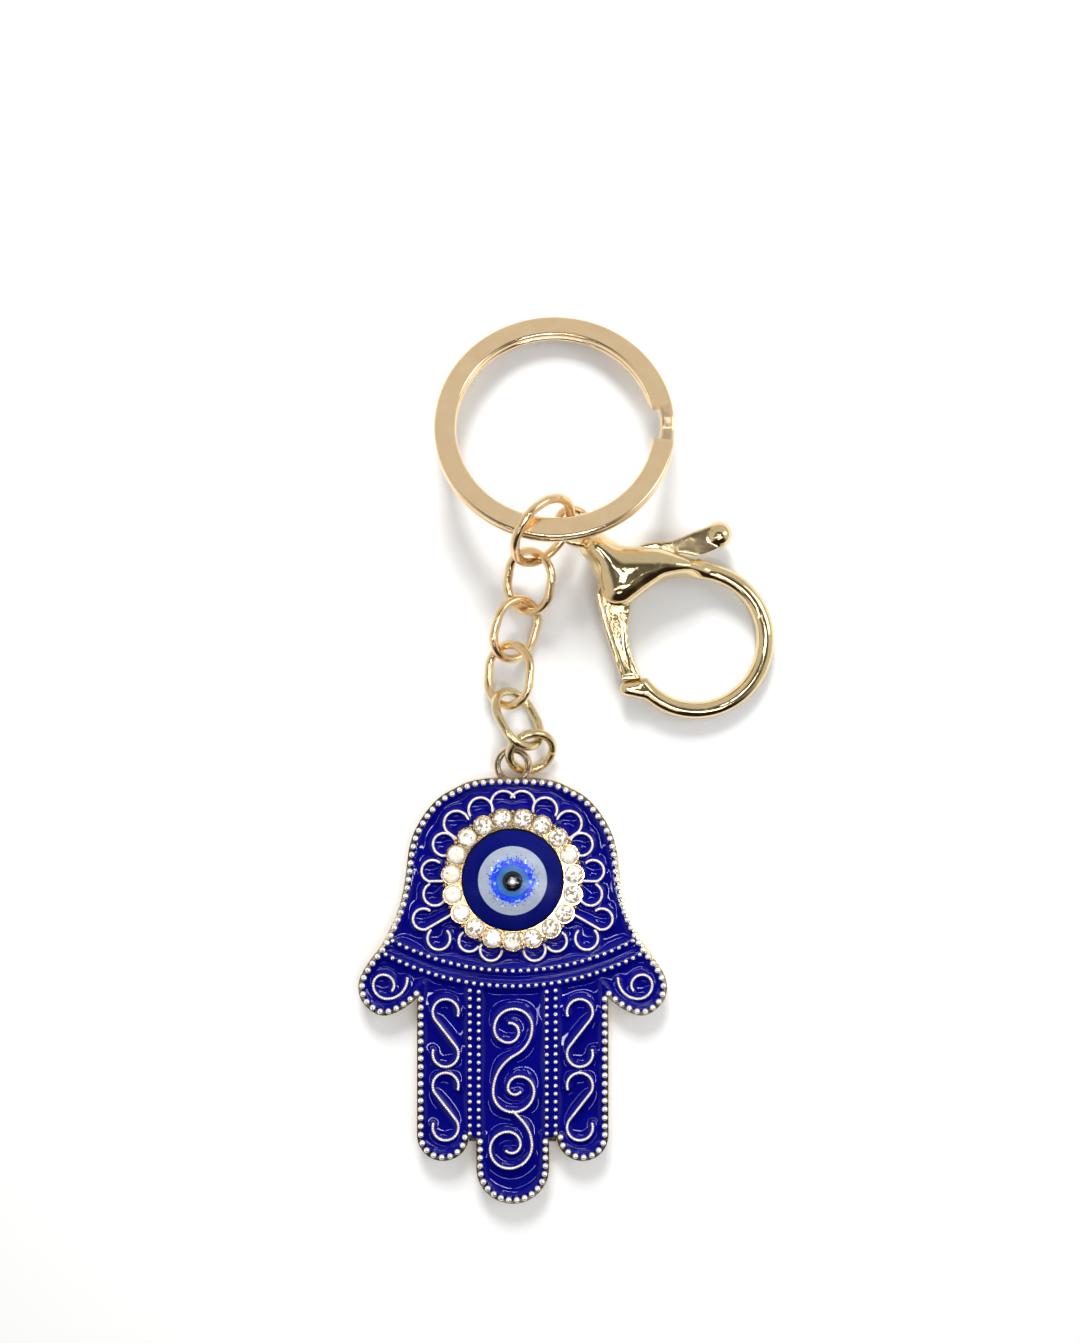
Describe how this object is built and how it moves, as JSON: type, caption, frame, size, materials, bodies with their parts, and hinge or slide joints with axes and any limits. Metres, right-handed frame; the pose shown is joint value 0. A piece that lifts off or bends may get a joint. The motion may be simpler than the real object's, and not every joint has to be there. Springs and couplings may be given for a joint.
{
  "type": "hamsa ornament",
  "caption": "Enamelled hamsa hand with a domed glass eye, on a chain of oval links with a flat split ring and a trigger clasp.",
  "frame": {"origin": "on the pendant's back, under the middle of the eye", "axes": "+Y from the fingers towards the split ring, +Z out of the pendant's face, lying on a table"},
  "size_m": [0.0518, 0.1106, 0.0112],
  "materials": {
    "gold": "bright pale gold plate",
    "enamel": "glossy deep blue enamel",
    "eye_navy": "glossy opaque glass",
    "eye_white": "glossy opaque glass",
    "eye_blue": "glossy opaque glass with glitter",
    "eye_light_blue": "glossy opaque glass",
    "eye_black": "glossy opaque glass",
    "crystal": "clear, cut and foil backed",
    "spring_steel": "bright wire"
  },
  "bodies": {
    "hand": {"hand_casting": "gold", "enamel_dome": "enamel", "enamel_band": "enamel", "enamel_left": "enamel", "enamel_middle": "enamel", "enamel_right": "enamel", "enamel_strips": "enamel", "eye_base": "eye_navy", "eye_white": "eye_white", "eye_blue": "eye_blue", "eye_light_blue": "eye_light_blue", "eye_pupil": "eye_black", "crystals": "crystal"},
    "small_ring": {"small_ring": "gold"},
    "link_4": {"chain_link_4": "gold"},
    "link_3": {"chain_link_3": "gold"},
    "link_2": {"chain_link_2": "gold"},
    "link_1": {"chain_link_1": "gold"},
    "large_ring": {"large_ring": "gold"},
    "split_ring": {"split_ring": "gold"},
    "swivel": {"clasp_swivel": "gold"},
    "clasp": {"clasp_body": "gold", "clasp_pin": "gold", "clasp_spring": "spring_steel"},
    "lever": {"clasp_lever": "gold"}
  },
  "joints": [
    {"name": "small_ring_lift", "type": "hinge", "parent": "hand", "child": "small_ring", "pos_m": [0.00139, 0.01348, 0.00096], "axis": [0.9089, -0.131, -0.3959], "range_deg": [0, 20]},
    {"name": "link_4_lift", "type": "hinge", "parent": "small_ring", "child": "link_4", "pos_m": [0.0011, 0.01682, 0.00483], "axis": [-0.7768, 0.3569, 0.5189], "range_deg": [0, 20]},
    {"name": "link_3_lift", "type": "hinge", "parent": "link_4", "child": "link_3", "pos_m": [-0.00183, 0.02191, 0.00239], "axis": [0.735, -0.481, 0.478], "range_deg": [-20, 20]},
    {"name": "link_2_lift", "type": "hinge", "parent": "link_3", "child": "link_2", "pos_m": [-0.00153, 0.02789, 0.00293], "axis": [0.6059, -0.5539, -0.5709], "range_deg": [-20, 20]},
    {"name": "link_1_lift", "type": "hinge", "parent": "link_2", "child": "link_1", "pos_m": [0.00174, 0.03329, 0.00236], "axis": [0.8598, -0.2, 0.4699], "range_deg": [-20, 20]},
    {"name": "large_ring_lift", "type": "hinge", "parent": "link_1", "child": "large_ring", "pos_m": [0.00278, 0.03932, 0.00413], "axis": [0.7213, 0.2691, -0.6382], "range_deg": [-20, 20]},
    {"name": "split_ring_lift", "type": "hinge", "parent": "large_ring", "child": "split_ring", "pos_m": [0.00087, 0.04272, 0.00884], "axis": [0.954, -0.289, 0.08], "range_deg": [-15, 15]},
    {"name": "clasp_swing", "type": "hinge", "parent": "large_ring", "child": "swivel", "pos_m": [0.00714, 0.04481, 0.00449], "axis": [0.058, 0.7099, 0.7019], "range_deg": [-20, 20]},
    {"name": "clasp_swivel_turn", "type": "hinge", "parent": "swivel", "child": "clasp", "pos_m": [0.01023, 0.04137, 0.00353], "axis": [0.73, -0.677, -0.093], "range_deg": [-40, 40]},
    {"name": "lever_hinge", "type": "hinge", "parent": "clasp", "child": "lever", "pos_m": [0.01348, 0.03835, 0.00312], "axis": [0.0685, -0.0635, 0.9956], "range_deg": [0, 25], "stiffness_Nm_per_rad": 0.02, "springref_deg": -11.46, "deforming": ["clasp_spring"]}
  ]
}
